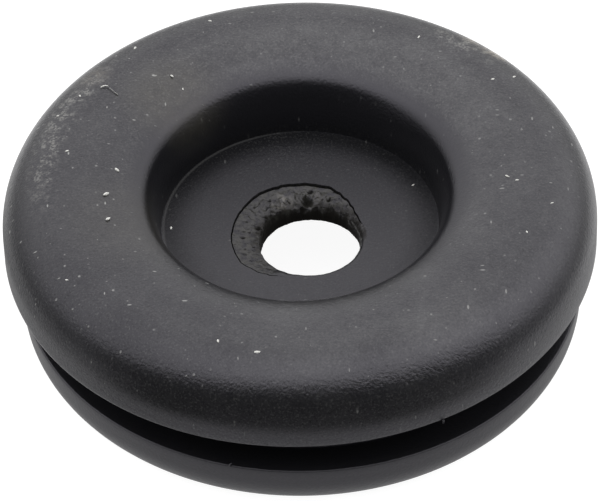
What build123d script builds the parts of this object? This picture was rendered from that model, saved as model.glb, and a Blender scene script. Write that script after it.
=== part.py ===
# A rubber grommet, moulded in one piece.
# Two round flanges stand either side of a groove that grips the edge of a panel.
# A thin web closes the middle, at the bottom of a deep recess on each side.
# A hole has been torn through the web, off centre, inside a shallow round step.
# Millimetres, +Z up. The origin is on the moulding's axis, at its flat underside.
import os
from math import atan2, cos, degrees, hypot, radians, sin, sqrt

from build123d import *

# Driving dimensions: the flanges and the groove between them
upper_flange_radius = 19.0
lower_flange_radius = 18.05
panel_hole_radius = 15.9
lower_flange_height = 3.85
groove_width = 3.15
upper_flange_height = 5.3

# Driving dimensions: the rounding of the section
shoulder_radius = 3.6
lip_radius = 3.4
lip_crest_radius = 12.9
recess_wall_radius = 5.9
lower_edge_radius = 2.8
under_lip_bevel = 1.6
groove_corner_bevel = 0.3
web_corner_bevel = 0.25

# Driving dimensions: the recesses and the web between them
recess_radius = 8.9
under_recess_radius = 8.9
under_recess_draft = 0.25
web_above_groove = 0.93
web_thickness = 1.45

# Driving dimensions: the torn hole and the step round it
throat_radius = 3.2
throat_x = 0.63
throat_y = -1.3
step_radius = 4.19
step_x = -0.34
step_y = -0.5
step_depth = 0.2
dish_foot_radius = 1.0
dish_depth = 0.4
rolled_edge_radius = 3.36
rolled_edge_foot_radius = 2.8
rolled_edge_depth = 0.6
rolled_edge_x = 0.66
rolled_edge_y = -1.6

# Heights worked out from them
groove_bottom = lower_flange_height
groove_top = groove_bottom + groove_width
flange_top = groove_top + upper_flange_height
web_top = groove_top + web_above_groove
web_bottom = web_top - web_thickness


def on_circle(centre, radius, angle):
    """The point of a circle in the section at an angle in degrees from the outward direction."""
    turn = radians(angle)
    return (centre[0] + radius * cos(turn), centre[1] + radius * sin(turn))


def direction(start, end):
    """The angle in degrees of the line from one point of the section to another."""
    return degrees(atan2(end[1] - start[1], end[0] - start[0]))


def round_stretch(centre, radius, start, end):
    """An arc of the section between two angles."""
    middle = (start + end) / 2
    return ThreePointArc(
        on_circle(centre, radius, start),
        on_circle(centre, radius, middle),
        on_circle(centre, radius, end),
    )


def recess_wall_centre(foot, lip):
    """The centre of the arc of the recess's wall, which starts at its foot and touches the lip."""
    reach_lip = recess_wall_radius - lip_radius
    span = hypot(lip[0] - foot[0], lip[1] - foot[1])
    along = (span**2 + recess_wall_radius**2 - reach_lip**2) / (2 * span)
    below = sqrt(recess_wall_radius**2 - along**2)
    outward = ((lip[0] - foot[0]) / span, (lip[1] - foot[1]) / span)
    return (
        foot[0] + outward[0] * along + outward[1] * below,
        foot[1] + outward[1] * along - outward[0] * below,
    )


def corner_at(section, radius, height):
    """The corner of the section nearest to one distance from the axis and one height."""
    return min(section.vertices(), key=lambda corner: hypot(corner.X - radius, corner.Y - height))


def half_section():
    """The face that the moulding is turned from, from its axis outwards."""
    shoulder = (upper_flange_radius - shoulder_radius, flange_top - shoulder_radius)
    lip = (lip_crest_radius, flange_top - lip_radius)
    recess_foot = (recess_radius, web_top)
    wall = recess_wall_centre(recess_foot, lip)
    to_foot = direction(wall, recess_foot)
    to_lip = direction(wall, lip)
    lower_edge = (lower_flange_radius - lower_edge_radius, lower_edge_radius)
    under_mouth_radius = under_recess_radius + under_recess_draft

    with BuildSketch(Plane.XZ) as section:
        with BuildLine():
            inner = round_stretch(wall, recess_wall_radius, to_foot, to_lip)
            crest = round_stretch(lip, lip_radius, to_lip, 90)
            outer = round_stretch(shoulder, shoulder_radius, 90, 0)
            Line(crest @ 1, outer @ 0)
            edge = round_stretch(lower_edge, lower_edge_radius, 0, -90)
            Polyline(
                outer @ 1,
                (upper_flange_radius, groove_top),
                (panel_hole_radius, groove_top),
                (panel_hole_radius, groove_bottom),
                (lower_flange_radius, groove_bottom),
                edge @ 0,
            )
            Polyline(
                edge @ 1,
                (under_mouth_radius + under_lip_bevel, 0),
                (under_mouth_radius, under_lip_bevel),
                (under_recess_radius, web_bottom),
                (0, web_bottom),
                (0, web_top),
                inner @ 0,
            )
        make_face()
        for height in (groove_top, groove_bottom):
            chamfer(corner_at(section, panel_hole_radius, height), groove_corner_bevel)
        chamfer(corner_at(section, under_recess_radius, web_bottom), web_corner_bevel)
    return section.sketch


def disc(x, y, z, radius):
    """A round outline lying at a height."""
    return Plane((x, y, z)) * Circle(radius)


def tear_cuts():
    """The pieces that the tear took out of the web, one after another."""
    # The throat, a straight round hole through the web
    throat = extrude(disc(throat_x, throat_y, web_bottom, throat_radius), web_thickness)
    # The shallow round step that the tear stopped at
    step_floor = disc(step_x, step_y, web_top - step_depth, step_radius)
    step = extrude(step_floor, step_depth)
    # The shallow dish inside the step, which slopes down to the throat
    dish_foot = disc(step_x, step_y, web_top - step_depth - dish_depth, dish_foot_radius)
    dish = loft([dish_foot, step_floor])
    # The edge that is stretched and rolled over at the front and the right
    rolled_foot_height = web_top - rolled_edge_depth
    rolled_foot = disc(rolled_edge_x, rolled_edge_y, rolled_foot_height, rolled_edge_foot_radius)
    rolled = loft([rolled_foot, disc(rolled_edge_x, rolled_edge_y, web_top, rolled_edge_radius)])
    return [throat, step, dish, rolled]


grommet = revolve(half_section(), Axis.Z)
for cut in tear_cuts():
    grommet = grommet - cut
grommet.label = "grommet"

box = grommet.bounding_box()
print("solids:", len(grommet.solids()), "valid:", grommet.is_valid)
print("size:", round(box.size.X, 2), round(box.size.Y, 2), round(box.size.Z, 2))
print("volume:", round(grommet.volume, 1), "cubic millimetres")

os.makedirs("parts", exist_ok=True)
export_step(grommet, "parts/grommet.step")
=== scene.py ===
# %% [markdown]
# # A rubber grommet
# A grommet lines the hole in a metal panel, so that a cable can pass through without being cut.
# This one is a single moulding of soft black rubber: a wide rounded flange on top, a smaller one
# below, a groove between them that grips the panel, and a thin web across the middle. A hole has
# been torn through the web, off centre.
# The frame gives the real size. Everything here is drawn in millimetres, because that is how a
# moulder thinks, and each finished mesh is brought to metres in one step at its end.

# %% Load the frame
from math import atan2, cos, degrees, hypot, pi, radians, sin, sqrt

import bmesh
import bpy
from mathutils import Matrix, Vector, noise


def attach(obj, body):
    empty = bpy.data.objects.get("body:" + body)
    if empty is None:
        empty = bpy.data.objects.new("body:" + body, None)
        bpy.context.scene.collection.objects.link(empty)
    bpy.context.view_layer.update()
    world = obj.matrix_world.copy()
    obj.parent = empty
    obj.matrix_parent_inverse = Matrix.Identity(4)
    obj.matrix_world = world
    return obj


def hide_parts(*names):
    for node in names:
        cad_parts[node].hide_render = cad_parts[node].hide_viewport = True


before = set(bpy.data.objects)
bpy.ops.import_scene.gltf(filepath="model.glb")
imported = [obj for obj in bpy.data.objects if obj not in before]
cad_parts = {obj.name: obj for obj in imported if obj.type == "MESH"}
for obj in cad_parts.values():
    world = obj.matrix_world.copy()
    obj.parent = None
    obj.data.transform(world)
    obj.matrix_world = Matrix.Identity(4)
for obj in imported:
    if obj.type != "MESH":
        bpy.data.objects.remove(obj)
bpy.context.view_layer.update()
MILLIMETRE = 0.001

# %% [markdown]
# ## The section
# A moulding like this is turned: its mould is cut on a lathe, so one drawn section describes all
# of it. The sizes below are the moulding's own. The radii are what make it look like rubber and
# not like sheet metal.

# %% Sizes of the moulding
upper_flange_radius = 19.0
lower_flange_radius = 18.05
panel_hole_radius = 15.9
groove_bottom = 3.85
groove_top = 7.0
flange_top = 12.3
web_top = 7.93
web_bottom = 6.48

shoulder_radius = 3.6
crown_radius = 5.97
crown_start_radius = 13.8
crown_tilt = 30
lip_radius = 2.0
lip_tilt = 58
lower_edge_radius = 2.8
under_lip_bevel = 1.6
groove_corner_radius = 0.3
flash_edge_radius = 0.12
web_corner_radius = 0.25

recess_radius = 8.9
under_recess_draft = 0.25
throat_radius = 3.2
print("flanges across, mm:", 2 * upper_flange_radius, "and", 2 * lower_flange_radius)

# %% [markdown]
# An outline can be typed in as a list of points, but then nobody can see what the numbers mean. A
# pen that draws straight runs and bends is closer to the drawing board. Spin does both: a point
# that is spun about a centre leaves an arc of edges behind it, and a point that is spun by nothing
# but shifted leaves a straight line.


# %% A pen that draws the section
class SectionPen:
    """Draws the edge of the rubber in one half plane, as a chain of edges."""

    def __init__(self, radius, height):
        self.mesh = bmesh.new()
        self.tip = self.mesh.verts.new((radius, 0.0, height))

    def spin_tip(self, pieces, **how):
        drawn = bmesh.ops.spin(self.mesh, geom=[self.tip], axis=(0, 1, 0), steps=pieces, **how)
        self.tip = [item for item in drawn["geom_last"] if isinstance(item, bmesh.types.BMVert)][0]
        return self.tip

    def run(self, radius, height, spacing):
        """A straight run to a point, with edges of about one length."""
        way = Vector((radius, 0.0, height)) - self.tip.co
        pieces = max(1, round(way.length / spacing))
        return self.spin_tip(pieces, cent=(0, 0, 0), dvec=way / pieces, angle=0)

    def bend(self, centre, degrees_round, spacing):
        """A bend about a centre, clockwise as seen from the front."""
        centre = Vector((centre[0], 0.0, centre[1]))
        length = (self.tip.co - centre).length * radians(degrees_round)
        pieces = max(2, round(length / spacing))
        return self.spin_tip(pieces, cent=centre, angle=radians(degrees_round))


def heading(start, end):
    """The angle in degrees from one point of the section to another."""
    return degrees(atan2(end[1] - start[1], end[0] - start[0]))


# %% [markdown]
# From the flat of the flange the rubber dips slowly inwards, turns over a tighter lip and then
# runs down the wall of the recess, which is nearly straight. Each stretch is an arc that touches
# the one before, so its centre lies on the line through the point where they meet. Only the wall's
# radius is unknown: it has to end at its own foot.

# %% Where the three arcs into the recess have their centres
shoulder = (upper_flange_radius - shoulder_radius, flange_top - shoulder_radius)


def along_slope(start, tilt, length):
    """The point a length away from a start, square to a surface that is tilted towards the axis."""
    return (start[0] - length * sin(radians(tilt)), start[1] + length * cos(radians(tilt)))


crown = (crown_start_radius, flange_top - crown_radius)
lip = along_slope(crown, crown_tilt, crown_radius - lip_radius)
lip_end = along_slope(lip, lip_tilt, lip_radius)
to_foot = (recess_radius - lip_end[0], web_top - lip_end[1])
out_of_wall = along_slope((0, 0), lip_tilt, 1)
foot_distance_squared = to_foot[0] ** 2 + to_foot[1] ** 2
foot_off_slope = to_foot[0] * out_of_wall[0] + to_foot[1] * out_of_wall[1]
wall_radius = -foot_distance_squared / 2 / foot_off_slope
wall = along_slope(lip_end, lip_tilt, -wall_radius)
turn_at_foot = heading(wall, (recess_radius, web_top))
print("the wall's radius:", round(wall_radius, 2), "and its foot's tilt:", round(turn_at_foot - 90, 1))

# %% [markdown]
# Rows of the mesh are dear, because each one goes all the way round. They are spent where the eye
# looks: about a twentieth of a millimetre at the torn hole, a quarter on the rounded flange, and
# wide apart where they are hidden.

# %% How far apart the rows are, and where the tear's own rows end
fine_row = 0.045
line_row = 0.02
tight_row = 0.1
calm_row = 0.15
curve_row = 0.27
web_row = 0.29
flat_row = 0.3
under_row = 0.4
plain_row = 0.5
lower_row = 0.7
hidden_row = 1.0
draft_row = 1.2
torn_reach = 4.3
line_reach = 4.5
calm_reach = 6.0

# %% Draw the section: the web, the recess's wall and the upper flange
pen = SectionPen(throat_radius, web_top)
pen.run(torn_reach, web_top, fine_row)
pen.run(line_reach, web_top, line_row)
pen.run(calm_reach, web_top, calm_row)
pen.run(recess_radius, web_top, web_row)
pen.bend(wall, turn_at_foot - 90 - lip_tilt, curve_row)
pen.bend(lip, lip_tilt - crown_tilt, tight_row)
pen.bend(crown, crown_tilt, curve_row)
pen.run(shoulder[0], flange_top, flat_row)
pen.bend(shoulder, 90, curve_row)
upper_flash = pen.run(upper_flange_radius, groove_top, plain_row)
print("points so far:", len(pen.mesh.verts))

# %% Draw the section: the groove, the lower flange and the way back under the web
lower_edge_centre = (lower_flange_radius - lower_edge_radius, lower_edge_radius)
under_mouth_radius = recess_radius + under_recess_draft
groove_roof = pen.run(panel_hole_radius, groove_top, hidden_row)
groove_floor = pen.run(panel_hole_radius, groove_bottom, hidden_row)
lower_flash = pen.run(lower_flange_radius, groove_bottom, lower_row)
pen.run(lower_flange_radius, lower_edge_radius, plain_row)
pen.bend(lower_edge_centre, 90, curve_row)
under_lip = pen.run(under_mouth_radius + under_lip_bevel, 0.0, hidden_row)
under_mouth = pen.run(under_mouth_radius, under_lip_bevel, lower_row)
web_corner = pen.run(recess_radius, web_bottom, draft_row)
pen.run(calm_reach, web_bottom, plain_row)
pen.run(throat_radius, web_bottom, under_row)
pen.run(throat_radius, web_top, tight_row)

# %% [markdown]
# The pen leaves sharp corners where two runs meet. A mould has hardly any: even the thin edges at
# the groove, where its halves part, are a tenth of a millimetre round. Bevel rounds them on the
# drawing, where a corner is one point and not a whole ring.

# %% Round the corners
section = pen.mesh
for corners, corner_radius in (
    ([upper_flash, lower_flash], flash_edge_radius),
    ([groove_roof, groove_floor], groove_corner_radius),
    ([web_corner], web_corner_radius),
    ([under_lip, under_mouth], under_lip_bevel / 4),
):
    bmesh.ops.bevel(
        section, geom=corners, affect="VERTICES", offset=corner_radius, offset_type="OFFSET",
        segments=3, profile=0.5, material=-1,
    )
bmesh.ops.remove_doubles(section, verts=section.verts[:], dist=0.001)
print("points round the section:", len(section.verts))

# %% [markdown]
# ## The torn hole
# The web was torn. There is a shallow step where the skin lifted, a rough slope down to the throat
# at the back and the left, and at the front the rubber just rolls over the edge. A boolean could
# cut such a hole, but it leaves a ragged mesh that shades badly. Here the rings of the mesh are
# pushed about instead: the inner ones run round the throat, the fine ones follow the step's edge,
# and the outer ones come back to the moulding's own circle. Then the heights are drawn.

# %% Where the tear runs, as directions in degrees about the throat and a size
throat_centre = Vector((0.63, -1.3))
# How far out the step's edge is
step_edge = (
    (-121, 4.01), (-100, 3.7), (-40, 3.7), (10, 3.6), (25, 3.52), (36, 3.66), (46, 3.95),
    (57, 4.3), (66, 4.61), (75, 4.9), (95, 5.13), (110, 5.29), (127, 5.38), (144, 5.21),
    (170, 5.07), (203, 4.92), (220, 4.56), (230, 4.28), (239, 4.01),
)
# How far out the throat's upper rim is, which the tear has eaten away at the back
throat_rim = (
    (-121, 3.2), (20, 3.2), (36, 3.22), (48, 3.4), (78, 3.38), (105, 3.29), (117, 3.4),
    (128, 3.6), (138, 3.72), (153, 3.44), (172, 3.3), (205, 3.28), (239, 3.2),
)
# How deep the step is: a real step at the back, and next to nothing at the left and the front
step_low = (
    (-121, 0.03), (25, 0.06), (50, 0.11), (80, 0.14), (150, 0.12), (185, 0.05), (239, 0.03),
)
# How open the cut line along the step's edge is. There is none at the front and the right.
line_clear = ((-121, 0.15), (-110, 0.0), (18, 0.0), (30, 1.0), (226, 1.0), (239, 0.15))
# How much the web slopes down to the throat: not at all at the front and fully at the back
sloped = (
    (-121, 0.0), (-12, 0.0), (10, 0.55), (34, 0.9), (60, 1.0), (200, 1.0), (225, 0.75), (239, 0.0),
)
print("directions measured on the step's edge:", len(step_edge))

# %% Pits and torn lumps in the slope: how far right and back, how wide, and how deep or high
pits = (
    (-2.70, 0.18, 0.24, 0.16), (-3.68, -0.89, 0.17, 0.12), (-2.17, 1.19, 0.22, 0.14),
    (0.72, 3.25, 0.22, 0.2), (0.55, 2.45, 0.46, 0.28), (-1.60, 0.9, 0.26, 0.2),
    (-3.25, -0.35, 0.1, 0.08), (-3.0, -1.7, 0.1, 0.07), (-3.4, 0.6, 0.1, 0.07),
    (1.9, 2.45, 0.2, 0.12), (-0.65, 2.35, 0.16, 0.1), (-3.62, -0.3, 0.09, 0.07),
    (-3.55, -2.0, 0.1, 0.06), (-2.9, 1.9, 0.13, 0.08), (-1.9, 2.55, 0.14, 0.09),
)
knobs = (
    (-0.98, 2.45, 0.45, 0.24), (1.15, 2.85, 0.34, 0.2), (2.12, 2.5, 0.3, 0.2),
    (2.9, 0.45, 0.26, 0.2), (3.3, -0.02, 0.16, 0.1), (-1.9, 1.75, 0.34, 0.16),
    (-0.2, 2.9, 0.24, 0.14), (2.7, 1.4, 0.24, 0.14), (-2.4, 2.3, 0.26, 0.1),
    (0.35, 2.75, 0.2, 0.12),
)
print("pits:", len(pits), "lumps:", len(knobs))


# %% Read a list, fade and add noise
def along_list(points, place):
    """A smooth value between the points of a list of places and values."""
    for (before, low), (after, high) in zip(points, points[1:]):
        if before <= place <= after:
            share = (place - before) / (after - before)
            share = share * share * (3 - 2 * share)
            return low + (high - low) * share
    raise ValueError("the place is outside the list")


def smooth_share(low, high, value):
    """0 below low, 1 above high, and smooth between."""
    share = min(1.0, max(0.0, (value - low) / (high - low)))
    return share * share * (3 - 2 * share)


def rough(point, size, seed):
    """Even noise from about -1 to 1 at a size in millimetres."""
    return noise.noise(Vector((point[0] / size + seed, point[1] / size - seed, seed)))


# %% [markdown]
# A tear isn't even. Noise at two sizes moves its edges, more at the back than elsewhere, and the
# same noise at smaller sizes roughens its slope. Noise that is read along the circle, from the
# direction alone, gives an edge that closes on itself.


# %% Where the rings of the mesh go
def tear_edges(place, spoke, full, back):
    """How far out the throat's wall and the step's edge are in one direction."""
    edge = along_list(step_edge, place)
    edge += (0.02 + 0.03 * back) * rough(spoke * 6, 0.5, 3.1) + 0.02 * rough(spoke * 6, 0.13, 7.7)
    bottom_rim = throat_radius + 0.04 * rough(spoke * 3, 0.7, 1.3)
    bottom_rim += 0.03 * rough(spoke * 3, 0.2, 5.9)
    top_rim = along_list(throat_rim, place) + (0.04 + 0.15 * back) * rough(spoke * 3, 0.3, 6.6)
    top_rim += 0.07 * back * rough(spoke * 3, 0.11, 8.2)
    return bottom_rim + (top_rim - bottom_rim) * full, edge


def ring_reach(ring, rim, edge, line):
    """How far out a ring of the mesh goes, from the throat's rim, the step's edge and its line."""
    if ring <= torn_reach:
        share = (ring - throat_radius) / (torn_reach - throat_radius)
        return rim + (edge - line - rim) * share
    if ring <= line_reach:
        share = (ring - torn_reach) / (line_reach - torn_reach)
        return edge - line + 2 * line * share
    share = (ring - line_reach) / (recess_radius - line_reach)
    return edge + line + (recess_radius - edge - line) * share


# %% How rough the slope is
def lumps_and_pits(flat, back, deep_shade):
    """How far the torn slope rises at a place, and how deep the place lies in a pit, which the finish
    paints as shade.
    """
    lumps = 0.18 * back * rough(flat, 0.5, 2.2) + 0.12 * back * rough(flat, 0.22, 8.8)
    lumps += 0.022 * rough(flat, 0.3, 4.4) + 0.012 * rough(flat, 0.12, 6.1)
    for right, behind, width, depth in pits:
        pit = 1 - smooth_share(0.3 * width, width, hypot(flat.x - right, flat.y - behind))
        lumps -= depth * pit
        deep_shade = max(deep_shade, pit)
    for right, behind, width, rise in knobs:
        off_knob = hypot(flat.x - right, flat.y - behind)
        lumps += rise * (1 - smooth_share(0.2 * width, width, off_knob))
    return lumps, deep_shade


# %% Draw the heights
slope_depth = 0.32
roll_depth = 0.5
crack_depth = 0.22


def tear(ring, angle, height):
    """Where a point of the web goes, how torn it is and how deep it lies in a crack, a pit or the
    throat's lower part, which the finish paints as shade.
    """
    spoke = Vector((cos(angle), sin(angle)))
    place = degrees(angle)
    if place < step_edge[0][0]:
        place += 360
    back = smooth_share(25, 60, place) * (1 - smooth_share(140, 175, place))
    full = (height - web_bottom) / (web_top - web_bottom)
    rim, edge = tear_edges(place, spoke, full, back)
    line = 0.05 + 0.03 * smooth_share(40, 80, place) * (1 - smooth_share(120, 150, place))
    home = smooth_share(calm_reach - 0.8, recess_radius, ring)
    flat = spoke * ring_reach(ring, rim, edge, line) + throat_centre * (1 - home)
    if ring > line_reach:
        return Vector((flat.x, flat.y, height)), 0.0, 0.0

    # The slope inside the step, and the edge that rolls over where there is no step
    clear = along_list(sloped, place)
    low_step = along_list(step_low, place)
    lumps, deep_shade = lumps_and_pits(flat, back, min(1.0, 1.5 * (1 - full)))
    inner = min(1.0, max(0.0, (ring - throat_radius) / (torn_reach - throat_radius)))
    slope = low_step + slope_depth * (1 - inner) ** 1.3
    roll = roll_depth * (1 - sqrt(1 - (1 - inner) ** 2))
    settled = 1 - inner**6
    drop = clear * (slope - lumps * settled) + (1 - clear) * roll
    torn = max(clear, 1 - full, 1 - smooth_share(0.0, 0.3, inner))
    if ring > torn_reach:
        cut = along_list(line_clear, place)
        across = (ring - torn_reach) / (line_reach - torn_reach)
        crack = max(0.0, 1 - abs(across - 0.45) / 0.4)
        step_wall = 1 - smooth_share(0.45, 0.95, across)
        drop = clear * low_step * step_wall + cut * crack_depth * crack
        torn = clear * (1 - across)
        deep_shade = cut * min(1.0, 1.6 * crack)
    low = web_bottom + 0.04 * rough(spoke * 3, 0.6, 9.4)
    return Vector((flat.x, flat.y, low + (web_top - drop - low) * full)), torn, deep_shade


# %% [markdown]
# ## The moulding
# The section is spun once round the axis, and only then are the points of the web pushed into the
# tear. The real grommet has also been squeezed: its upper flange leans by less than a degree,
# with the lower one flat on the table. A tilt that grows through the groove keeps both flanges
# stiff and bends only the neck between them, as rubber does.

# %% How the upper flange leans
lean = 0.01525


def leaned(place):
    """Where a place on the drawn moulding ends up when the upper flange leans."""
    lifted = smooth_share(groove_bottom, groove_top, place.z) * lean
    return place + Vector((-lifted * (place.z - groove_bottom), 0.0, lifted * place.x))


# %% [markdown]
# Squeezing has also left the mouth of the recess slightly oval: its lip stands further in at the
# left and the right than at the front and the back. The foot of the wall and the crown of the
# flange are still round, so the change grows up the wall and fades out over the flange.

# %% How the mouth is squeezed
squeeze = 0.55
squeezed_height = 11.2
squeezed_radius = 10.5


def squeezed(place):
    """Where a place on the drawn moulding ends up when the recess's mouth is squeezed."""
    ring = hypot(place.x, place.y)
    if place.z < web_top or ring < recess_radius:
        return place
    share = smooth_share(web_top, squeezed_height, place.z)
    share *= 1 - smooth_share(squeezed_radius, crown_start_radius, ring)
    inward = squeeze * share * (place.x / ring) ** 2 / ring
    return Vector((place.x * (1 - inward), place.y * (1 - inward), place.z))


# %% [markdown]
# A full spin with use_merge closes the ring without a seam. Each point of the web takes two numbers
# with it, how torn it is and how deep it lies, and the finish reads them later: the second says where
# it paints shade. A spin can leave a shape inside out, so the normals are worked out again once all
# its points are in place.

# %% Spin the section and shape it
turns = 480
merge_distance = 0.0005
sharp_fold = radians(38)

body = section.copy()
bmesh.ops.spin(
    body, geom=body.verts[:] + body.edges[:], cent=(0, 0, 0), axis=(0, 0, 1), angle=2 * pi,
    steps=turns, use_merge=True,
)
bmesh.ops.remove_doubles(body, verts=body.verts[:], dist=merge_distance)
torn_share = body.verts.layers.float.new("torn")
crack_shade_share = body.verts.layers.float.new("deep_shade")
for vert in body.verts:
    ring = hypot(vert.co.x, vert.co.y)
    angle = atan2(vert.co.y, vert.co.x)
    in_web = web_bottom - merge_distance < vert.co.z < web_top + merge_distance
    if in_web and ring < recess_radius - web_corner_radius:
        vert.co, vert[torn_share], vert[crack_shade_share] = tear(ring, angle, vert.co.z)
    vert.co = leaned(squeezed(vert.co))
bmesh.ops.recalc_face_normals(body, faces=body.faces[:])
for face in body.faces:
    face.smooth = True
for edge in body.edges:
    edge.smooth = edge.calc_face_angle(0.0) < sharp_fold
print("faces:", len(body.faces), "open edges:", sum(edge.is_boundary for edge in body.edges))

# %% [markdown]
# Every piece ends the same way: its mesh is brought to metres, and an object at the origin holds it.
# The frame is then told which body the piece rides on.


# %% Bring a drawn mesh to metres
def finished(drawn, name):
    """A drawn mesh as a piece of the scene, in metres."""
    bmesh.ops.scale(drawn, vec=(MILLIMETRE,) * 3, verts=drawn.verts[:])
    mesh = bpy.data.meshes.new(name)
    drawn.to_mesh(mesh)
    drawn.free()
    piece = bpy.data.objects.new(name, mesh)
    bpy.context.scene.collection.objects.link(piece)
    return piece


moulding = finished(body, "moulding")
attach(moulding, "root")
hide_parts("grommet")
print("moulding:", len(moulding.data.polygons), "faces")

# %% [markdown]
# ## Shader sums
# A finish is mostly small sums: this noise times that mask, plus a little of the other. Written as
# nodes, a sum is four lines a step. This small class lets the sum be written as a sum.


# %% Values that can be added and multiplied
class Value:
    """What comes out of a node, used like a number."""

    def __init__(self, finish, socket):
        self.finish = finish
        self.socket = socket

    def other(self, name):
        """Another output of the same node."""
        return Value(self.finish, self.socket.node.outputs[name])

    def sum(self, operation, first, second):
        return self.finish.node("ShaderNodeMath", {"operation": operation}, {0: first, 1: second})

    def __add__(self, other):
        return self.sum("ADD", self, other)

    def __radd__(self, other):
        return self.sum("ADD", other, self)

    def __sub__(self, other):
        return self.sum("SUBTRACT", self, other)

    def __rsub__(self, other):
        return self.sum("SUBTRACT", other, self)

    def __mul__(self, other):
        return self.sum("MULTIPLY", self, other)

    def __rmul__(self, other):
        return self.sum("MULTIPLY", other, self)

    def __truediv__(self, other):
        return self.sum("DIVIDE", self, other)


# %% [markdown]
# A material and the world are both trees of nodes. This class adds one node at a time to either of
# them, with its settings first. It also holds the few patterns that the finishes share: a smooth
# step, a mix of two colours, noise, specks, soft round patches and a band.


# %% A finish and its patterns
class Finish:
    """The node tree of a material or of the world, with one way to add any node."""

    def __init__(self, owner):
        owner.use_nodes = True
        self.owner = owner
        self.tree = owner.node_tree
        self.tree.nodes.clear()

    def node(self, kind, settings=None, inputs=None, output=0):
        """Adds a node: its settings first, then the values or links of its sockets."""
        made = self.tree.nodes.new(kind)
        for name, setting in (settings or {}).items():
            setattr(made, name, setting)
        for name, value in (inputs or {}).items():
            if isinstance(value, Value):
                self.tree.links.new(value.socket, made.inputs[name])
            else:
                made.inputs[name].default_value = value
        return Value(self, made.outputs[output]) if made.outputs else None

    def between(self, low, high, value):
        """0 below low, 1 above high, and smooth between."""
        return self.node(
            "ShaderNodeMapRange", {"interpolation_type": "SMOOTHSTEP"},
            {"Value": value, "From Min": low, "From Max": high},
        )

    def mixed(self, share, first, second):
        """One colour turning into another."""
        return self.node(
            "ShaderNodeMix", {"data_type": "RGBA"}, {6: first, 7: second, 0: share}, 2
        )

    def millimetres(self, stretch=(1, 1, 1)):
        """The place on the piece in millimetres, which may be stretched along an axis."""
        surface = self.node("ShaderNodeTexCoord", output="Object")
        return self.node(
            "ShaderNodeVectorMath", {"operation": "MULTIPLY"},
            {0: surface, 1: [share / MILLIMETRE for share in stretch]},
        )

    def grain(self, place, size, detail=2.0, shift=0.0):
        """Noise from 0 to 1 at a size in millimetres."""
        moved = self.node(
            "ShaderNodeVectorMath", {"operation": "ADD"}, {0: place, 1: (shift, shift, shift)}
        )
        return self.node(
            "ShaderNodeTexNoise", {}, {"Vector": moved, "Scale": 1 / size, "Detail": detail}, "Fac"
        )

    def specks(self, place, spacing, size, kept):
        """1 on small round specks and 0 off them. Only a share of the cells keep theirs."""
        cells = self.node(
            "ShaderNodeTexVoronoi", {}, {"Vector": place, "Scale": 1 / spacing}, "Distance"
        )
        chance = self.node("ShaderNodeSeparateColor", {}, {"Color": cells.other("Color")}, "Red")
        reach = (0.4 + 0.6 * chance.other("Green")) * (size / spacing)
        stays = self.node("ShaderNodeMath", {"operation": "LESS_THAN"}, {0: chance, 1: kept})
        return (1 - self.between(0.5, 1.0, cells / reach)) * stays

    def near(self, place, centre, inner, outer):
        """1 near a centre and 0 away from it, in millimetres."""
        apart = self.node(
            "ShaderNodeVectorMath", {"operation": "DISTANCE"}, {0: place, 1: centre}, "Value"
        )
        return 1 - self.between(inner, outer, apart)

    def patches(self, place, spots):
        """Soft round patches: each has a centre, where it begins and ends to fade, and a strength."""
        shares = [
            self.near(place, centre, inner, outer) * strength
            for centre, inner, outer, strength in spots
        ]
        return sum(shares[1:], shares[0])

    def band(self, rise, fall, value):
        """1 between a rise and a fall, each given as where it starts and where it ends."""
        return self.between(*rise, value) * (1 - self.between(*fall, value))


# %% [markdown]
# ## Rubber
# Black rubber is a very dark grey, slightly blue, with a dull sheen that comes from its surface and
# not its colour. What makes it look handled is what lies on it. A photo could be wrapped round it,
# but a finish that is built from masks follows the shape and can be changed. The masks come first:
# they say which part of the moulding a point is on, from its height and its distance to the axis.

# %% Rubber: where things are
rubber = Finish(bpy.data.materials.new("rubber"))
place = rubber.millimetres()
flat_place = rubber.node("ShaderNodeVectorMath", {"operation": "MULTIPLY"}, {0: place, 1: (1, 1, 0)})
radius = rubber.node("ShaderNodeVectorMath", {"operation": "LENGTH"}, {0: flat_place}, "Value")
right = rubber.node("ShaderNodeSeparateXYZ", {}, {0: place}, "X")
back = right.other("Y")
height = right.other("Z")
torn = rubber.node("ShaderNodeAttribute", {"attribute_name": "torn"}, {}, "Fac")
# This number is painted shade: it turns cracks, pits and the throat's lower part black.
deep_shade = rubber.node("ShaderNodeAttribute", {"attribute_name": "deep_shade"}, {}, "Fac")

upper = rubber.between(groove_top - 0.1, groove_top, height)
flange = upper * rubber.between(10.0, 11.5, radius)
rim = upper * rubber.between(16.0, 18.8, radius)
web = upper * (1 - rubber.between(8.6, 9.2, radius)) * (1 - torn)
open_skin = flange + web * 0.5
lower = 1 - rubber.between(groove_bottom - 0.05, groove_bottom + 0.02, height)
lower_edge = lower * (1 - rubber.between(1.2, 2.6, height))
towards_back = rubber.between(-4.0, 14.0, back)
to_left = rubber.between(4.0, -15.0, right)
print("nodes for the places:", len(rubber.tree.nodes))

# %% [markdown]
# Noise at a few sizes is used again and again: clouds of some millimetres, a mottle of half a
# millimetre, cracks of a third, and a fine grain of a sixth. The places can be squashed first,
# which stretches what is drawn in them: specks turn into short streaks.

# %% Rubber: noise
cloud = rubber.grain(place, 3.2, 3.0)
mottle = rubber.grain(place, 0.55, 3.0, 5.0)
fine = rubber.grain(place, 0.16, 2.0, 9.0)
cracks = rubber.grain(place, 0.3, 3.0, 15.0)
settled = rubber.millimetres((1.0, 1.0, 0.3))
across_streaks = rubber.millimetres((0.4, 1.0, 0.3))
down_streaks = rubber.millimetres((1.0, 0.4, 0.3))
print("nodes with the noise:", len(rubber.tree.nodes))
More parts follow.
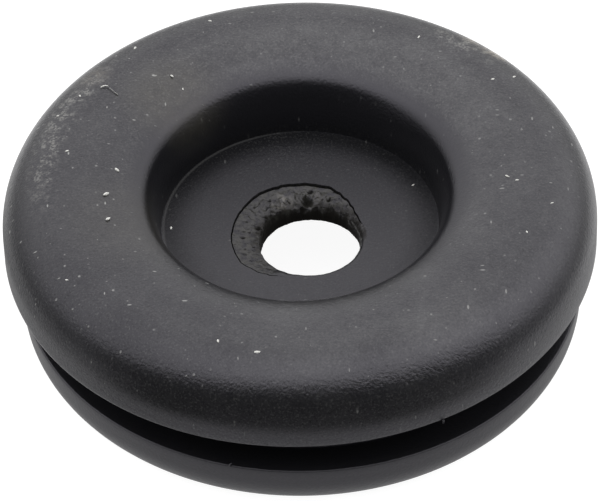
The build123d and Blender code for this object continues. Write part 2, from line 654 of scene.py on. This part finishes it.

# %% [markdown]
# A thin film of dust greys the flange, and it carries painted light as well. It is made thicker on the
# crown towards the back and in two patches at the front of the shoulder, which is painted highlight,
# and thinner on the left, which is painted shade. It thins out over the rim and stops at the lip of
# the recess. The web has a little of it at the front, as painted light: it is lighter there than near
# the shade of the wall at the back.

# %% Rubber: the film of dust, with painted highlights and painted shade
# Painted highlight: the film is thicker on the crown towards the back.
painted_back_highlight = towards_back * (1 - rubber.between(13.0, 15.8, radius))
thickness = 0.35 + 0.3 * rubber.between(0.3, 0.75, cloud) + 0.5 * painted_back_highlight
dust_film_and_painted_light = upper * rubber.between(10.0, 11.6, radius) * thickness
# Painted shade: the film is thinner on the left, so that side is darker.
dust_film_and_painted_light = dust_film_and_painted_light * (1 - 0.35 * to_left) * (1 - 0.7 * rubber.between(16.8, 18.7, radius))
dust_film_and_painted_light = dust_film_and_painted_light * (0.35 + 1.3 * mottle)
dust_film_and_painted_light = dust_film_and_painted_light + rim * towards_back * rubber.between(0.35, 0.7, mottle) * 0.12 + lower * 0.3
# Painted highlight: two pale patches on the front of the shoulder.
painted_front_highlight = rubber.patches(
    place, (((8.8, -14.8, 11.8), 1.0, 4.5, 0.5), ((0, -16.5, 11.9), 1.0, 5.0, 0.25))
)
dust_film_and_painted_light = dust_film_and_painted_light + painted_front_highlight * (1 - rubber.between(17.2, 18.0, radius))
# Painted light on the web: lighter towards the front, away from the shade of the wall.
painted_web_light = web * 0.16 * rubber.between(6.0, -6.0, back) * (0.3 + 1.4 * mottle)
dust_film_and_painted_light = dust_film_and_painted_light * (0.2 + 1.6 * fine) + painted_web_light
print("nodes with the film:", len(rubber.tree.nodes))

# %% [markdown]
# Wax that works out of old rubber leaves a brown bloom on the rim, in a few places. The crown is
# slightly olive on the left, and a pale crust has settled in a band along the rim, at the left and
# at the back right. All of them are soft patches that noise breaks up.

# %% Rubber: bloom, olive dust and crust
bloom = rubber.patches(
    place,
    (((13.1, 11.9, 11.5), 0.1, 1.5, 1.0), ((11.6, 13.2, 11.5), 0.1, 1.3, 0.7),
     ((-13.3, 10.4, 12.0), 0.1, 1.8, 0.2)),
)
bloom = bloom * rubber.between(0.3, 0.62, rubber.grain(place, 0.26, 3.0, 2.0))
olive = rubber.patches(
    place, (((-8.0, 8.2, 11.8), 1.0, 4.5, 1.0), ((-10.5, -3.5, 12.3), 1.0, 6.0, 0.5))
)
olive = olive * (0.4 + 1.2 * mottle)
crusted = rubber.patches(
    place, (((-15.0, 5.0, 12.0), 3.0, 9.0, 1.0), ((11.2, 12.4, 12.0), 0.5, 3.6, 1.0))
)
crust = rubber.band((15.2, 16.2), (16.9, 17.7), radius) * crusted
crust = upper * crust * rubber.between(0.44, 0.62, mottle) * rubber.between(0.4, 0.58, fine)
print("nodes with the bloom and the crust:", len(rubber.tree.nodes))

# %% [markdown]
# Pale specks lie loose on the whole top, crowded at the back of the rim. Between them the skin has a
# fine grain, of pale grit and of dull pores. A thin pale line runs along the foot of the recess's
# wall, from the left towards the back.

# %% Rubber: specks, grit and the line at the foot
dust = rubber.specks(settled, 0.5, 0.12, 0.6)
dust = dust * (0.1 + 0.9 * rubber.between(0.45, 0.65, mottle)) * 0.7
dust = dust + rubber.specks(across_streaks, 0.62, 0.09, 0.28)
dust = dust + rubber.specks(down_streaks, 0.62, 0.09, 0.28)
crowd = rim * towards_back * rubber.between(10.2, 11.6, height)
crowd = crowd * rubber.specks(settled, 0.27, 0.1, 0.75) * 0.7
dust = dust * upper * (0.2 + 0.8 * flange) * (0.65 + 0.35 * to_left)
dust = (dust + crowd) * (1 - torn)
grit = open_skin * rubber.between(0.5, 0.74, rubber.grain(place, 0.13, 3.0, 11.0))
grit = grit * (0.6 + 0.4 * towards_back)
pores = open_skin * rubber.between(0.5, 0.75, rubber.grain(place, 0.12, 3.0, 13.0))
foot_line = rubber.band((8.7, 8.8), (8.86, 8.94), radius) * rubber.between(7.5, 7.8, height)
foot_line = foot_line * rubber.between(1.0, -4.0, right) * rubber.between(-4.0, -1.0, back)
print("nodes with the specks:", len(rubber.tree.nodes))

# %% [markdown]
# Torn rubber is greyer than its skin. Its lumps get a painted highlight of pale grey, and the throat,
# the cracks and the pits get painted shade that is nearly black. Both follow the two numbers that the
# mesh carries, and small noise makes them uneven.

# %% Rubber: the torn faces, with a painted highlight and painted shade
raw_share = torn * rubber.between(0.3, 0.6, rubber.grain(place, 0.35, 3.0, 4.0))
# Painted highlight: pale grey on the torn lumps.
painted_lump_highlight = rubber.patches(
    place,
    (((-1.1, 2.35, 7.6), 0.2, 1.1, 1.0), ((1.15, 2.8, 7.6), 0.1, 0.5, 1.0),
     ((2.8, 0.7, 7.5), 0.1, 0.7, 1.0)),
)
painted_lump_highlight = painted_lump_highlight * torn * rubber.between(0.4, 0.62, cracks)
# Painted shade: the throat is darkened everywhere but at the front.
painted_throat_shade = rubber.between(0.0, 0.4, torn) * rubber.near(place, (0.63, -1.3, 7.5), 3.4, 4.2)
painted_throat_shade = painted_throat_shade * rubber.between(-3.5, -1.0, back) * rubber.between(0.25, 0.55, cracks)
print("nodes with the torn faces:", len(rubber.tree.nodes))

# %% [markdown]
# The colour is laid on in coats, as a painter would do it: each one is a colour and a share that
# says where it lies and how thick. A later coat covers the ones before it.

# %% Rubber: the coats of colour
black = (0.0042, 0.0042, 0.0052, 1)
dust_and_painted_light_grey = (0.056, 0.056, 0.056, 1)
olive_dust = (0.062, 0.058, 0.042, 1)
raw = (0.026, 0.0255, 0.022, 1)
# Painted highlight on the torn lumps.
lump_highlight_grey = (0.095, 0.09, 0.082, 1)
throat_shade = (0.008, 0.007, 0.006, 1)
# Painted shade in the cracks and pits.
crack_shade_black = (0.004, 0.0035, 0.003, 1)
scuffed = (0.05, 0.042, 0.034, 1)
brown = (0.30, 0.265, 0.215, 1)
crust_grey = (0.25, 0.245, 0.225, 1)
pale = (0.28, 0.28, 0.27, 1)

coats = (
    # Dust and painted light: this coat carries the highlights and the shade of the film.
    (dust_film_and_painted_light * 0.7, dust_and_painted_light_grey),
    (olive * 0.3, olive_dust),
    (raw_share, raw),
    # Painted highlight on the torn lumps.
    (painted_lump_highlight, lump_highlight_grey),
    # Painted shade at the throat.
    (painted_throat_shade * 0.7, throat_shade),
    # Painted shade in the cracks, the pits and the throat's lower part.
    (deep_shade, crack_shade_black),
    (lower_edge * rubber.between(0.5, 0.75, mottle) * 0.5, scuffed),
    (bloom * 0.8, brown),
    (crust * 0.4, crust_grey),
    (foot_line * 0.07, pale),
    (grit * 0.13, pale),
    (dust * 0.8, pale),
)
colour = black
for share, coat in coats:
    colour = rubber.mixed(share, colour, coat)
print("coats of colour:", len(coats))

# %% [markdown]
# The shine is nearly even, a bit duller on the web, in the tear and on the sides. The relief is
# what the mould and the wear left: an orange peel that shows where the light ends, small wrinkles
# on the shoulder at the front, and a rough torn face. The large shapes are in the mesh, and a bump
# is only used for what is finer than its rows.

# %% Rubber: shine and relief
side = lower + rubber.between(18.7, 18.9, radius) * (1 - rubber.between(9.0, 10.0, height))
shine = 0.29 + 0.05 * (mottle - 0.5) + web * 0.06 + dust_film_and_painted_light * 0.04
shine = shine + torn * 0.06 + dust * 0.3 + side * 0.14

peel = (rubber.grain(place, 0.2, 2.0, 3.0) - 0.5) * 0.026 * (0.5 + 0.5 * flange)
wrinkled = rubber.near(place, (6.5, -17.0, 11.2), 2.0, 8.0)
wrinkled = wrinkled * rubber.grain(across_streaks, 0.13, 2.0, 6.0)
relief = peel + (fine - 0.5) * 0.012 + wrinkled * 0.03 + dust * 0.03
relief = relief + torn * (1 - deep_shade) * (mottle - 0.5) * 0.2
relief = relief + lower_edge * (rubber.grain(place, 0.4, 3.0, 7.0) - 0.5) * 0.05
uneven = rubber.node(
    "ShaderNodeBump", {}, {"Height": relief, "Distance": MILLIMETRE, "Strength": 1.0}
)
print("nodes with the relief:", len(rubber.tree.nodes))

# %% [markdown]
# Clean rubber mirrors the room softly. The sides over the groove are matt, and torn faces and pores
# are dull. The rest of the dull places are painted shade: the web near the wall that stands over it,
# the wall at the back, the left shoulder, the throat, the cracks, and more of the sides at the front.
# How strongly a finish mirrors is one number for the whole of it here, so that it can be baked. A
# second, dull rubber is mixed in where it has to be less.

# %% Rubber: where it is dull, partly as painted shade
# Partly painted shade: the sides over the groove are matt, and matter still at the front.
matt_side_and_front_shade = rubber.between(18.3, 18.8, radius) * (0.2 + 0.6 * rubber.between(7.6, 9.0, height))
matt_side_and_front_shade = matt_side_and_front_shade * upper * (1 - 0.8 * rubber.between(-18.0, -12.5, back))
# Painted shade: the web mirrors less near the walls that stand over it.
beside_wall = rubber.between(6.3, 8.7, radius) * rubber.between(-8.0, -2.0, back)
behind_web = rubber.between(7.2, 8.7, radius) * rubber.between(2.0, 7.0, back)
shade = 0.06 + 0.3 * rubber.between(-7.0, 6.0, back) + 0.38 * beside_wall + 0.3 * behind_web
# Painted shade: the wall at the back mirrors less.
painted_back_wall_shade = upper * rubber.band((8.8, 9.0), (9.6, 10.4), radius)
painted_back_wall_shade = painted_back_wall_shade * rubber.between(-2.0, 6.0, back) * 0.5
# Painted shade: the left shoulder mirrors less.
painted_left_shoulder_shade = upper * rubber.between(15.8, 17.8, radius) * rubber.between(-4.0, -12.0, right)
painted_left_shoulder_shade = painted_left_shoulder_shade * rubber.between(6.0, -4.0, back) * 0.28
dullness = torn * 0.25 + deep_shade * 0.7 + painted_throat_shade * 0.5 + pores * 0.3
dullness = dullness + matt_side_and_front_shade + lower * 0.2 + web * shade + painted_back_wall_shade + painted_left_shoulder_shade
print("nodes with the dull places:", len(rubber.tree.nodes))

# %% Rubber: put together
smooth = rubber.node(
    "ShaderNodeBsdfPrincipled", {},
    {"Base Color": colour, "Roughness": shine, "Normal": uneven, "IOR": 1.5,
     "Specular IOR Level": 0.52, "Specular Tint": (0.92, 0.89, 1.0, 1)},
)
dull = rubber.node(
    "ShaderNodeBsdfPrincipled", {},
    {"Base Color": colour, "Roughness": 0.8, "Normal": uneven, "Specular IOR Level": 0.08},
)
shader = rubber.node("ShaderNodeMixShader", {}, {0: dullness, 1: smooth, 2: dull})
rubber.node("ShaderNodeOutputMaterial", {}, {"Surface": shader})
moulding.data.materials.append(rubber.owner)
print("rubber:", len(rubber.tree.nodes), "nodes")

# %% [markdown]
# ## Lint and crumbs
# Pale crumbs and one bit of lint lie on the flange, and two of the crumbs have dropped on to the
# web. They are too big for the dust of the finish: they throw a small shadow. Each crumb is a
# little ball that noise has pulled out of shape. It is longer than it is wide, and each one is
# turned another way.

# %% Crumbs: how far right, back and up, and the size
crumbs = (
    (-12.2, -1.2, 12.23, 0.15), (-2.88, -15.84, 12.21, 0.16), (-11.53, 1.26, 12.03, 0.14),
    (-7.3, 8.95, 11.9, 0.08), (-12.06, -3.57, 12.28, 0.13), (-14.72, 2.89, 12.3, 0.09),
    (13.2, -0.85, 12.3, 0.1), (-9.62, -2.33, 10.57, 0.1), (-10.41, 12.93, 12.09, 0.11),
    (12.8, 8.45, 12.3, 0.09), (-5.47, 15.26, 12.2, 0.09), (14.16, -6.06, 12.29, 0.08),
    (8.19, 12.84, 12.3, 0.09), (15.89, -3.37, 12.19, 0.08), (-14.59, -8.64, 11.94, 0.08),
    (-13.96, 8.26, 12.2, 0.09), (-8.27, 0.05, 7.92, 0.1), (14.19, 8.88, 12.04, 0.09),
    (13.81, -1.25, 12.3, 0.08), (-7.99, 9.81, 12.29, 0.1), (-5.25, -14.82, 12.28, 0.1),
    (7.38, 3.34, 7.92, 0.08), (-15.36, 6.55, 12.05, 0.08),
)
crumb_length, crumb_width, crumb_thickness = 1.6, 0.7, 0.6
first_turn, next_turn = 0.7, 2.4


def crumb_heap(places):
    """All the crumbs as one drawn mesh."""
    heap = bmesh.new()
    for number, (right, behind, up, size) in enumerate(places):
        spot = Matrix.Translation(leaned(Vector((right, behind, up))))
        ball = bmesh.ops.create_icosphere(heap, subdivisions=2, radius=size, matrix=spot)["verts"]
        for vert in ball:
            away = vert.co - spot.translation
            pull = 0.9 + 0.55 * noise.noise(away / size * 0.9 + Vector((number * 3.7, 0, 0)))
            length, width = pull * crumb_length, pull * crumb_width
            away = Vector((away.x * length, away.y * width, away.z * crumb_thickness))
            turn = Matrix.Rotation(first_turn + number * next_turn, 3, "Z")
            vert.co = spot.translation + turn @ away
    for face in heap.faces:
        face.smooth = True
    return heap


pale_crumbs = finished(crumb_heap(crumbs), "crumbs")
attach(pale_crumbs, "root")
print("crumbs:", len(crumbs))

# %% [markdown]
# Lint is a ring of a few edges that is pushed along its way, with a new row at each bend. A curve
# with a round bevel would do as well, but it would have to be made a mesh afterwards. The same
# helper makes the two scraps of flash at the groove, which are rubber: a nick that hangs from the
# upper flange, and a whisker on the lower one.


# %% A fibre along a way
def fibre(way, thickness):
    """A thin fibre along a list of places, as a drawn mesh."""
    way = [leaned(Vector(stop)) for stop in way]
    drawn = bmesh.new()
    turn = (way[1] - way[0]).to_track_quat("Z", "Y").to_matrix().to_4x4()
    start = Matrix.Translation(way[0]) @ turn
    bmesh.ops.create_circle(drawn, segments=6, radius=thickness, matrix=start)
    end = drawn.edges[:]
    for before, after in zip(way, way[1:]):
        drawn_on = bmesh.ops.extrude_edge_only(drawn, edges=end)["geom"]
        end = [item for item in drawn_on if isinstance(item, bmesh.types.BMEdge)]
        row = [item for item in drawn_on if isinstance(item, bmesh.types.BMVert)]
        bmesh.ops.translate(drawn, verts=row, vec=after - before)
    bmesh.ops.holes_fill(drawn, edges=drawn.edges[:], sides=6)
    bmesh.ops.recalc_face_normals(drawn, faces=drawn.faces[:])
    for face in drawn.faces:
        face.smooth = True
    return drawn


# %% Lint and flash
lint_way = (
    (-12.6, 8.84, 12.36), (-12.45, 8.92, 12.4), (-12.25, 8.95, 12.42), (-12.12, 8.88, 12.42),
    (-12.0, 8.7, 12.4), (-11.85, 8.5, 12.39), (-11.68, 8.3, 12.37), (-11.5, 8.1, 12.34),
)
nick_way = ((8.36, -17.05, 7.04), (8.43, -17.1, 6.94), (8.41, -17.18, 6.86))
whisker_way = ((-4.9, -17.38, 3.8), (-4.86, -17.42, 4.0), (-4.72, -17.5, 4.22))

lint = finished(fibre(lint_way, 0.045), "lint")
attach(lint, "root")
nick = finished(fibre(nick_way, 0.08), "groove_nick")
whisker = finished(fibre(whisker_way, 0.035), "groove_whisker")
for flash in (nick, whisker):
    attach(flash, "root")
    flash.data.materials.append(rubber.owner)
print("stops along the lint:", len(lint_way))

# %% [markdown]
# Crumbs and lint share one pale finish, dull all over, with a tone that noise takes from off-white
# to grey.

# %% The finish of the crumbs and the lint
fluff = Finish(bpy.data.materials.new("fluff"))
fluff_tone = fluff.grain(fluff.millimetres(), 0.2, 2.0)
fluff_colour = fluff.mixed(fluff_tone, (0.42, 0.41, 0.38, 1), (0.68, 0.68, 0.66, 1))
fluff_shader = fluff.node(
    "ShaderNodeBsdfPrincipled", {},
    {"Base Color": fluff_colour, "Roughness": 0.8, "Specular IOR Level": 0.3},
)
fluff.node("ShaderNodeOutputMaterial", {}, {"Surface": fluff_shader})
for bit in (pale_crumbs, lint):
    bit.data.materials.append(fluff.owner)
print("fluff:", len(fluff.tree.nodes), "nodes")

# %% [markdown]
# ## The floor
# The photograph was taken on a white table that burns out to pure white. A white floor would throw
# too much light up under the flanges, so the floor's own colour is a middle grey. Glow makes it
# white, and only the camera and mirrored rays see the glow. It keeps a faint shadow round the
# rubber. Both fade with distance, as on a table that is lit in one place: the rubber mirrors the
# far part as a dark band.

# %% Floor
floor_radius = 1500
lit_middle = (0, 8, 0)
lit_radius, unlit_radius = 30, 62
near_paper, far_paper = (0.2, 0.2, 0.2, 1), (0.14, 0.14, 0.14, 1)
near_glow, far_glow = (0.93, 0.93, 0.93, 1), (0.3, 0.3, 0.3, 1)

floor_mesh = bmesh.new()
bmesh.ops.create_circle(floor_mesh, cap_ends=True, segments=96, radius=floor_radius)
floor = finished(floor_mesh, "floor")
paper = Finish(bpy.data.materials.new("paper"))
from_middle = paper.node(
    "ShaderNodeVectorMath", {"operation": "DISTANCE"},
    {0: paper.millimetres(), 1: lit_middle}, "Value",
)
far = paper.between(lit_radius, unlit_radius, from_middle)
ray = paper.node("ShaderNodeLightPath", output="Is Camera Ray")
seen = ray + ray.other("Is Glossy Ray") + ray.other("Is Transmission Ray")
paper_shader = paper.node(
    "ShaderNodeBsdfPrincipled", {},
    {"Base Color": paper.mixed(far, near_paper, far_paper), "Roughness": 0.9,
     "Specular IOR Level": 0.0, "Emission Color": paper.mixed(far, near_glow, far_glow),
     "Emission Strength": seen},
)
paper.node("ShaderNodeOutputMaterial", {}, {"Surface": paper_shader})
floor.data.materials.append(paper.owner)
print("floor, mm across:", 2 * floor_radius)

# %% [markdown]
# ## The light
# The flange shows one broad soft light that reaches from the back, over the top, to about 50
# degrees above the front. In front of that the room is dark, and the shoulder mirrors it as the
# dark band over the groove. An area lamp has hard edges in a mirror. A sky that is worked out from
# the direction fades as slowly as the real light does: brightest just behind its front edge, and
# weaker towards the horizon.

# %% Light
front_cut = radians(50)
brightest, loss_further_back = 2.15, 0.73
horizon_share = 0.43
dark_room = 0.03

sky = Finish(bpy.data.worlds.new("room"))
bpy.context.scene.world = sky.owner
towards = sky.node("ShaderNodeTexCoord", output="Generated")
over_cut = sky.node(
    "ShaderNodeVectorMath", {"operation": "DOT_PRODUCT"},
    {0: towards, 1: (0, sin(front_cut), cos(front_cut))}, "Value",
)
up = sky.node("ShaderNodeSeparateXYZ", {}, {0: towards}, "Z")
glow = brightest - loss_further_back * sky.between(0.45, 0.95, over_cut)
glow = sky.between(-0.27, 0.08, over_cut) * glow
glow = glow * (horizon_share + (1 - horizon_share) * sky.between(0.0, 0.5, up)) + dark_room
backdrop = sky.node("ShaderNodeBackground", {}, {"Color": (1, 1, 1, 1), "Strength": glow})
sky.node("ShaderNodeOutputWorld", {}, {"Surface": backdrop})
print("sky:", len(sky.tree.nodes), "nodes")

# %% [markdown]
# ## The camera
# The photo fits a camera about 30 cm away that looks down at 43 degrees, with a slight roll. A
# camera can be aimed with a constraint, but a matrix says all of it at once. It is placed round
# the middle of the upper flange, and it leans with the grommet, because the lean was measured in
# it.

# %% Where the camera stands and looks
camera_distance = 300.0
camera_elevation = 0.7561
camera_roll = -0.0336
camera_aim = (-0.0557, -1.0157)

high, level = sin(camera_elevation), cos(camera_elevation)
eye = Vector((0, -camera_distance * level, camera_distance * high))
aim = Vector((camera_aim[0], camera_aim[1] * high, camera_aim[1] * level))
look = (aim - eye).normalized()
across = look.cross(Vector((0, 0, 1))).normalized()
upward = across.cross(look)
camera_right = across * cos(camera_roll) + upward * sin(camera_roll)
camera_top = upward * cos(camera_roll) - across * sin(camera_roll)

stand = Matrix.Translation((0, 0, groove_bottom)) @ Matrix.Rotation(-lean, 4, "Y")
stand = stand @ Matrix.Translation((0, 0, groove_top - groove_bottom))
pose = Matrix((camera_right, camera_top, -look)).transposed().to_4x4()
pose.translation = eye
pose = stand @ pose
pose.translation *= MILLIMETRE
print("camera at, mm:", [round(c / MILLIMETRE) for c in pose.translation])

# %% Camera
focal_pixels = 4671.6
picture_width = 600
sensor_width = 36.0

lens = bpy.data.cameras.new("camera")
lens.sensor_width = sensor_width
lens.lens = sensor_width * focal_pixels / picture_width
lens.clip_start = 0.01
lens.clip_end = 20
camera = bpy.data.objects.new("camera", lens)
camera.matrix_world = pose
bpy.context.scene.collection.objects.link(camera)
bpy.context.scene.camera = camera
bpy.context.scene.view_settings.view_transform = "Standard"
print("lens, mm:", round(lens.lens))
